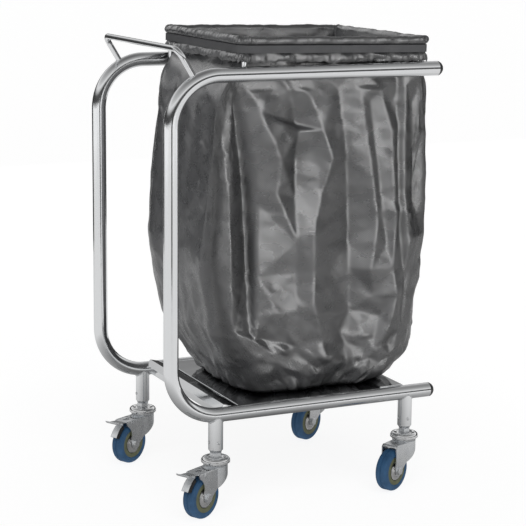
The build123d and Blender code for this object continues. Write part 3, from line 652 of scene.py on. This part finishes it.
def near_side_field(x, z):
    """How far the near side stands out at (from the posts, height), from its listed folds."""
    corners, heights, creases, index = [], [], [], {}
    for fold in NEAR_FOLDS:
        previous = None
        for px, pz, out in fold:
            if (px, pz) not in index:
                index[(px, pz)] = len(corners)
                corners.append((px, pz))
                heights.append(out)
            if previous is not None:
                creases.append((previous, index[(px, pz)]))
            previous = index[(px, pz)]
    for border_x, border_z in ((EDGE_X, EDGE_Z), (END_X, END_Z)):
        for px in border_x:
            for pz in border_z:
                corners.append((px, pz))
                heights.append(0.0)
    verts, faces, origin = triangles_of(corners, creases)
    lifted = [np.mean([heights[i] for i in kept]) if kept else 0.0 for kept in origin]
    return facets_at(verts, lifted, faces, x, z)


def smooth_step(value, low, high):
    """From 0 at low to 1 at high, level at both ends."""
    t = np.clip((value - low) / (high - low), 0.0, 1.0)
    return t * t * (3 - 2 * t)


def hoop_point(offsets, heights, ring, normals):
    """Points round the hoop: ring and normals at zero offset, moved out and along the hoop's axis."""
    flat = ring + normals * offsets[:, None]
    x = HOOP_MID_X + flat[:, 0] * math.cos(HOOP_TILT) + heights * math.sin(HOOP_TILT)
    z = HOOP_MID_Z - flat[:, 0] * math.sin(HOOP_TILT) + heights * math.cos(HOOP_TILT)
    return np.stack((x, MID_Y + flat[:, 1], z), axis=1)


def rim_rows():
    """Cuff and roll: rows of points from the free edge, over the hoop, to the neck inside it."""
    path = np.array(RIM_PATH)
    steps = np.concatenate(([0.0], np.cumsum(np.hypot(*np.diff(path, axis=0).T))))
    fine = np.linspace(0.0, steps[-1], RIM_SAMPLES)
    smooth = np.stack([np.interp(fine, steps, path[:, k]) for k in (0, 1)], axis=1)
    kernel = np.hanning(RIM_SOFTENING) / np.hanning(RIM_SOFTENING).sum()
    half = RIM_SOFTENING // 2
    padded = np.pad(smooth, ((half, half), (0, 0)), mode="edge")
    smooth = np.stack([np.convolve(padded[:, k], kernel, "valid") for k in (0, 1)], axis=1)
    rows = np.interp(np.arange(0.0, steps[-1], RIM_ROW), fine, np.arange(len(fine)))
    ring, normals = rounded_ring(-HOOP_HALF_X, HOOP_HALF_X, HOOP_HALF_Y, HOOP_CORNER_R, RIM_SPLIT)
    rounds = film_columns(RIM_SPLIT)
    calm = 1.0 - REAR_CALM * smooth_step(normals[:, 0], -0.9, -0.3)
    pleats = calm * np.clip(waves(rounds, PLEATS, 5) * PLEAT_GAIN, -1.0, 1.0)
    swell = waves(rounds, SWELLS, 6) * SWELL_GAIN
    ragged = waves(rounds, RAGGED, 7)
    crush = crumple(rounds, np.arange(0.0, steps[-1], RIM_ROW) + 0.001, RIM_CELL, 8)
    made, downs = [], []
    for number, row in enumerate(rows):
        low, share = int(row), row - int(row)
        here = smooth[low] * (1 - share) + smooth[min(low + 1, len(smooth) - 1)] * share
        offset = np.full(len(rounds), here[0])
        height = np.full(len(rounds), here[1])
        roll = float(smooth_step(here[1], ROLL_FROM, ROLL_FULL)) if here[0] > -0.0055 else 0.0
        cuff = float(smooth_step(-here[1], CUFF_FROM, CUFF_FULL)) if here[0] > 0 else 0.0
        sway = 1.0 if here[0] > 0 else INSIDE_SWAY
        offset += roll * (ROLL_PLEAT_OUT * pleats + ROLL_SWELL_OUT * swell) * sway
        height += roll * (ROLL_PLEAT_UP * pleats + ROLL_SWELL_UP * swell)
        offset += cuff * (CUFF_PLEAT * pleats + CUFF_SWELL * swell + CUFF_CRUSH * crush[number])
        height -= cuff * CUFF_RAGGED * ragged
        offset += (roll + CUFF_SHARE * cuff) * RIM_CRUSH * crush[number]
        if here[0] < INNER_WALL:
            below = float(smooth_step(-here[1], -0.012, 0.006))
            offset -= INNER_PUSH * (1 + crush[number]) * below
        made.append(hoop_point(offset, height, ring, normals))
        downs.append(number * RIM_ROW)
    return made, downs


def body_rows(first_down):
    """The hanging body, from the neck to the foot, and its floor."""
    heights = np.arange(BAG_LEVELS[0][0] - 0.002, BAG_LEVELS[-1][0], -BODY_ROW)
    rounds = film_columns()
    downs = np.arange(len(heights) + FLOOR_ROWS) * BODY_ROW
    broad = crumple(rounds, downs, BROAD_CELL, 11)
    middle = crumple(rounds, downs, MIDDLE_CELL, 12)
    fine = crumple(rounds, downs, FINE_CELL, 13)
    hanging = waves(rounds, HANGING, 14)
    shapes = np.stack([spread(k, heights) for k in (1, 2, 3, 4)], axis=1)
    rings = [rounded_ring(*shape) for shape in shapes]
    across = np.stack([ring[:, 0] for ring, _ in rings])
    near_field = near_side_field(across, np.repeat(heights[:, None], across.shape[1], axis=1))
    made = []
    for number, z in enumerate(heights):
        ring, normals = rings[number]
        near = smooth_step(-normals[:, 1], 0.25, 0.85)
        out = near * near_field[number]
        free = float(smooth_step(np.array(NECK_Z - z), 0.0, NECK_FADE))
        low = float(smooth_step(np.array(FOOT_Z - z), 0.0, FOOT_FADE))
        neck = float(smooth_step(np.array(z), HANGING_FROM, HANGING_FULL))
        rear_side = smooth_step(-normals[:, 0], 0.2, 0.8)
        out += (1 - near) * free * (1 - 0.5 * rear_side) * BROAD_DEPTH * broad[number]
        out += free * (MIDDLE_DEPTH + FOOT_EXTRA * low) * middle[number]
        out += free * (FINE_DEPTH + FOOT_EXTRA * low) * fine[number]
        out += free * neck * HANGING_TOP * hanging
        out += (1 - near) * free * HANGING_ALL * hanging
        flat = ring + normals * out[:, None]
        level = np.full(len(flat), z)
        made.append(np.stack((POST_X + flat[:, 0], MID_Y + flat[:, 1], level), axis=1))
    foot = made[-1]
    centre = foot.mean(axis=0)
    for ring_number in range(FLOOR_ROWS):
        share = ring_number / (FLOOR_ROWS - 1)
        scale = FLOOR_SHRINK[0] + (FLOOR_SHRINK[1] - FLOOR_SHRINK[0]) * share**FLOOR_CROWDING
        row = centre + (foot - centre) * scale
        crinkle = FLOOR_CRINKLE * (1 + fine[len(heights) + ring_number])
        row[:, 2] = TRAY_Z + 0.0006 + crinkle
        made.append(row)
    for row in made:
        keep_clear(row)
    return made, [first_down + d + BODY_ROW for d in downs]


def keep_clear(row):
    """Holds the film off the rails, the tray and the front cross member."""
    y = row[:, 1] - MID_Y
    beside_rail = (row[:, 2] > TOP_RAIL_Z - 0.030) | (row[:, 2] < LOWER_RAIL_Z + 0.018)
    limit = np.where(beside_rail, RAIL_Y["far"] - MID_Y - TUBE_R - RAIL_CLEARANCE, WIDEST)
    row[:, 1] = MID_Y + np.clip(y, -limit, limit)
    climb = smooth_step(row[:, 0], STRIP_LOW.x + STRIP_CLIMB[0], STRIP_LOW.x + STRIP_CLIMB[1])
    floor = TRAY_Z + TRAY_CLEARANCE + climb * (STRIP_HIGH.z - TRAY_Z + 0.0004)
    row[:, 2] = np.maximum(row[:, 2], floor)


def join_rows(rows):
    """Faces between closed rows of points, which may halve their count once, and a cap at the end."""
    faces, start = [], 0
    for upper, lower in zip(rows, rows[1:]):
        n, m = len(upper), len(lower)
        below = start + n
        for i in range(m):
            k = (i + 1) % m
            if n == m:
                faces.append((start + i, start + k, below + k, below + i))
            else:
                a, b, c = start + 2 * i, start + 2 * i + 1, start + (2 * i + 2) % n
                faces += [(a, b, below + i), (b, below + k, below + i), (b, c, below + k)]
        start = below
    faces.append(tuple(start + i for i in range(len(rows[-1]))))
    return faces


def refuse_bag():
    """The film bag as one sheet: cuff, roll, hanging body and floor."""
    rim, rim_downs = rim_rows()
    body, body_downs = body_rows(rim_downs[-1])
    rows = rim + body
    bag = piece_from("bag_film", np.concatenate(rows), join_rows(rows), "bag_film")
    downs = rim_downs + body_downs
    film = np.concatenate([
        np.stack((np.arange(len(row)) / len(row) * FILM_ROUND, np.full(len(row), -down)), axis=1)
        for row, down in zip(rows, downs)
    ])
    layer = bag.data.uv_layers.new(name="film")
    vertex = np.zeros(len(bag.data.loops), dtype=np.int64)
    bag.data.loops.foreach_get("vertex_index", vertex)
    flat = film[vertex]
    for polygon in bag.data.polygons:
        span = slice(polygon.loop_start, polygon.loop_start + polygon.loop_total)
        wrapped = flat[span, 0].max() - flat[span, 0].min() > FILM_ROUND / 2
        if wrapped and polygon.loop_total < 5:
            flat[span, 0] += np.where(flat[span, 0] < FILM_ROUND / 2, FILM_ROUND, 0.0)
    layer.data.foreach_set("uv", flat.ravel())
    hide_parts("refuse_bag")
    return bag


def band_splice():
    """The band's overlapped end: a thin plate with soft ends, on its near side."""
    low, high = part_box("retaining_band")
    middle_x = (low.x + high.x) / 2 + SPLICE_PAST_MIDDLE
    middle_z = HOOP_MID_Z - (middle_x - HOOP_MID_X) * math.tan(HOOP_TILT)
    mesh = bmesh.new()
    bmesh.ops.create_cube(mesh, size=1.0)
    size = Matrix.Diagonal((SPLICE_LENGTH, SPLICE_PROUD * 2, BAND_HALF_H * 1.9, 1.0))
    bmesh.ops.transform(mesh, matrix=size, verts=mesh.verts)
    bmesh.ops.bevel(mesh, geom=mesh.edges, offset=SPLICE_PROUD * 0.7, segments=3, affect="EDGES")
    place = Matrix.Translation((middle_x, low.y, middle_z)) @ Matrix.Rotation(HOOP_TILT, 4, "Y")
    bmesh.ops.transform(mesh, matrix=place, verts=mesh.verts)
    points = [v.co.copy() for v in mesh.verts]
    faces = [[v.index for v in f.verts] for f in mesh.faces]
    mesh.free()
    return piece_from("band_splice", points, faces, "band_rubber", smooth=False)


bag = refuse_bag()
band_splice()


# ---- floor and light ---------------------------------------------------------------------
FLOOR_SIZE = 40.0
FLOOR_COLOR = 0.25
FLOOR_GLOW = 0.87
MIRROR_FLOOR_Z = 0.0008
# The mirror-only sheet's glow is a painted reflection of the floor, with painted shade under the cart:
# dim out to MIRROR_NEAR, rising to full glow at MIRROR_FAR.
MIRROR_NEAR, MIRROR_FAR = 0.15, 0.85  # from the cart's middle, where its grey starts and ends
BACKDROP = 1.05
DULL_FILL = 0.24
# What mirrors see, from straight down (0) over level (0.5) to straight up (1): place, brightness
STUDIO_BANDS = (
    (0.0, 0.7), (0.49, 0.6), (0.505, 0.05), (0.605, 0.06), (0.63, 0.30), (0.70, 0.85), (0.78, 0.55),
    (1.0, 0.15),
)


def make_floor():
    """A pale floor that glows softly and takes only a faint shade from the cart."""
    bpy.ops.mesh.primitive_plane_add(size=FLOOR_SIZE, location=(0.0, 0.0, 0.0))
    floor = bpy.context.object
    floor.name = "floor"
    material = bpy.data.materials.new("floor")
    material.use_nodes = True
    shader = material.node_tree.nodes["Principled BSDF"]
    shader.inputs["Base Color"].default_value = (FLOOR_COLOR, FLOOR_COLOR, FLOOR_COLOR, 1.0)
    shader.inputs["Emission Color"].default_value = (1.0, 1.0, 1.0, 1.0)
    shader.inputs["Emission Strength"].default_value = FLOOR_GLOW
    shader.inputs["Roughness"].default_value = 0.8
    shader.inputs["Specular IOR Level"].default_value = 0.1
    floor.data.materials.append(material)
    floor.visible_shadow = False


def sun(name, from_direction, spread_angle, strength, only_on=None, mirrored=False):
    """A soft sun, which may be kept to a single piece, and may show in mirrors."""
    data = bpy.data.lights.new(name, "SUN")
    data.energy = strength
    data.angle = math.radians(spread_angle)
    light = bpy.data.objects.new(name, data)
    bpy.context.scene.collection.objects.link(light)
    light.rotation_euler = Vector(from_direction).to_track_quat("Z", "Y").to_euler()
    light.visible_glossy = mirrored
    light.visible_diffuse = not mirrored
    if only_on:
        kept_to = bpy.data.collections.new(name)
        kept_to.objects.link(only_on)
        light.light_linking.receiver_collection = kept_to


def flag(name, azimuth, distance, width, height, level):
    """An upright dark card that only mirrors see, as a studio uses to draw edges on bright metal."""
    angle = math.radians(azimuth)
    towards = Vector((math.sin(angle), -math.cos(angle), 0.0))
    bpy.ops.mesh.primitive_plane_add(size=1.0, location=towards * distance + Vector((0, 0, height / 2)))
    card = bpy.context.object
    card.name = name
    card.scale = (width, height, 1.0)
    card.rotation_euler = (math.pi / 2, 0.0, angle)
    material = bpy.data.materials.new(name)
    material.use_nodes = True
    shader = material.node_tree.nodes["Principled BSDF"]
    shader.inputs["Base Color"].default_value = (level, level, level, 1.0)
    shader.inputs["Roughness"].default_value = 1.0
    card.data.materials.append(material)
    only_in_mirrors(card)


def only_in_mirrors(card):
    """Marks a card as stage, seen in reflections only."""
    card.visible_camera = False
    card.visible_diffuse = False
    card.visible_shadow = False


def painted_floor_reflection(width, painted_shade_glow, painted_light_glow):
    """A glowing sheet on the floor that only mirrors see: a painted reflection of the floor, with
    painted shade under the cart, where its glow is dimmer than around it.
    """
    bpy.ops.mesh.primitive_plane_add(size=1.0, location=(0.0, 0.0, MIRROR_FLOOR_Z))
    card = bpy.context.object
    card.name = "painted_floor_reflection"
    card.scale = (width, width, 1.0)
    material = bpy.data.materials.new("painted_floor_reflection")
    material.use_nodes = True
    tree = material.node_tree
    shader = tree.nodes["Principled BSDF"]
    shader.inputs["Base Color"].default_value = (0.0, 0.0, 0.0, 1.0)
    place = tree.nodes.new("ShaderNodeTexCoord")
    length = tree.nodes.new("ShaderNodeVectorMath")
    length.operation = "LENGTH"
    level = tree.nodes.new("ShaderNodeMapRange")
    level.inputs["From Min"].default_value = MIRROR_NEAR / width
    level.inputs["From Max"].default_value = MIRROR_FAR / width
    level.inputs["To Min"].default_value = painted_shade_glow
    level.inputs["To Max"].default_value = painted_light_glow
    shader.inputs["Emission Color"].default_value = (1.0, 1.0, 1.0, 1.0)
    tree.links.new(place.outputs["Object"], length.inputs[0])
    tree.links.new(length.outputs["Value"], level.inputs["Value"])
    # Glow rises with distance from the cart's middle: painted shade under the cart, painted light around
    # it.
    tree.links.new(level.outputs["Result"], shader.inputs["Emission Strength"])
    card.data.materials.append(material)
    only_in_mirrors(card)


def make_world():
    """White to the camera; a dim fill for dull surfaces; a banded studio for what mirrors."""
    world = bpy.data.worlds.new("studio")
    bpy.context.scene.world = world
    world.use_nodes = True
    tree = world.node_tree
    tree.nodes.clear()
    link = tree.links.new

    def background(level):
        made = tree.nodes.new("ShaderNodeBackground")
        made.inputs["Color"].default_value = (level, level, level, 1)
        return made

    out = tree.nodes.new("ShaderNodeOutputWorld")
    place = tree.nodes.new("ShaderNodeTexCoord")
    split = tree.nodes.new("ShaderNodeSeparateXYZ")
    half = tree.nodes.new("ShaderNodeMapRange")
    half.inputs["From Min"].default_value = -1.0
    ramp = tree.nodes.new("ShaderNodeValToRGB")
    for end, (position, level) in zip(ramp.color_ramp.elements, (STUDIO_BANDS[0], STUDIO_BANDS[-1])):
        end.position = position
        end.color = (level, level, level, 1)
    for position, level in STUDIO_BANDS[1:-1]:
        ramp.color_ramp.elements.new(position).color = (level, level, level, 1)
    path = tree.nodes.new("ShaderNodeLightPath")
    dull_or_mirror = tree.nodes.new("ShaderNodeMixShader")
    seen = tree.nodes.new("ShaderNodeMixShader")
    mirrored = background(1.0)
    link(place.outputs["Generated"], split.inputs["Vector"])
    link(split.outputs["Z"], half.inputs["Value"])
    link(half.outputs["Result"], ramp.inputs["Fac"])
    link(ramp.outputs["Color"], mirrored.inputs["Color"])
    link(path.outputs["Is Glossy Ray"], dull_or_mirror.inputs["Fac"])
    link(background(DULL_FILL).outputs["Background"], dull_or_mirror.inputs[1])
    link(mirrored.outputs["Background"], dull_or_mirror.inputs[2])
    link(path.outputs["Is Camera Ray"], seen.inputs["Fac"])
    link(dull_or_mirror.outputs["Shader"], seen.inputs[1])
    link(background(BACKDROP).outputs["Background"], seen.inputs[2])
    link(seen.outputs["Shader"], out.inputs["Surface"])


make_floor()
make_world()
sun("key", (-0.25, -0.85, 0.85), spread_angle=60.0, strength=0.9)
sun("film_light", (-0.95, -0.28, 0.34), spread_angle=14.0, strength=4.5, only_on=bag)
for name, from_direction, spread_angle, strength in (
    ("film_gloss", (0.26, -0.96, -0.16), 34.0, 2.3),
    ("film_gloss_wide", (-0.22, -0.97, -0.08), 84.0, 3.8),
    ("film_gloss_back", (-0.35, 0.93, -0.08), 84.0, 1.4),
):
    sun(name, from_direction, spread_angle, strength, only_on=bag, mirrored=True)
# Glowing sheet that mirrors see: a painted reflection of the floor, with painted shade under the cart.
painted_floor_reflection(width=8.0, painted_shade_glow=0.12, painted_light_glow=0.72)
flag("camera_flag", azimuth=-14.0, distance=2.1, width=0.60, height=0.75, level=0.02)
flag("left_edge_flag", azimuth=-155.0, distance=2.4, width=2.3, height=0.9, level=0.04)
flag("right_edge_flag", azimuth=112.0, distance=2.4, width=2.3, height=0.9, level=0.04)
bpy.context.scene.view_settings.view_transform = "Standard"
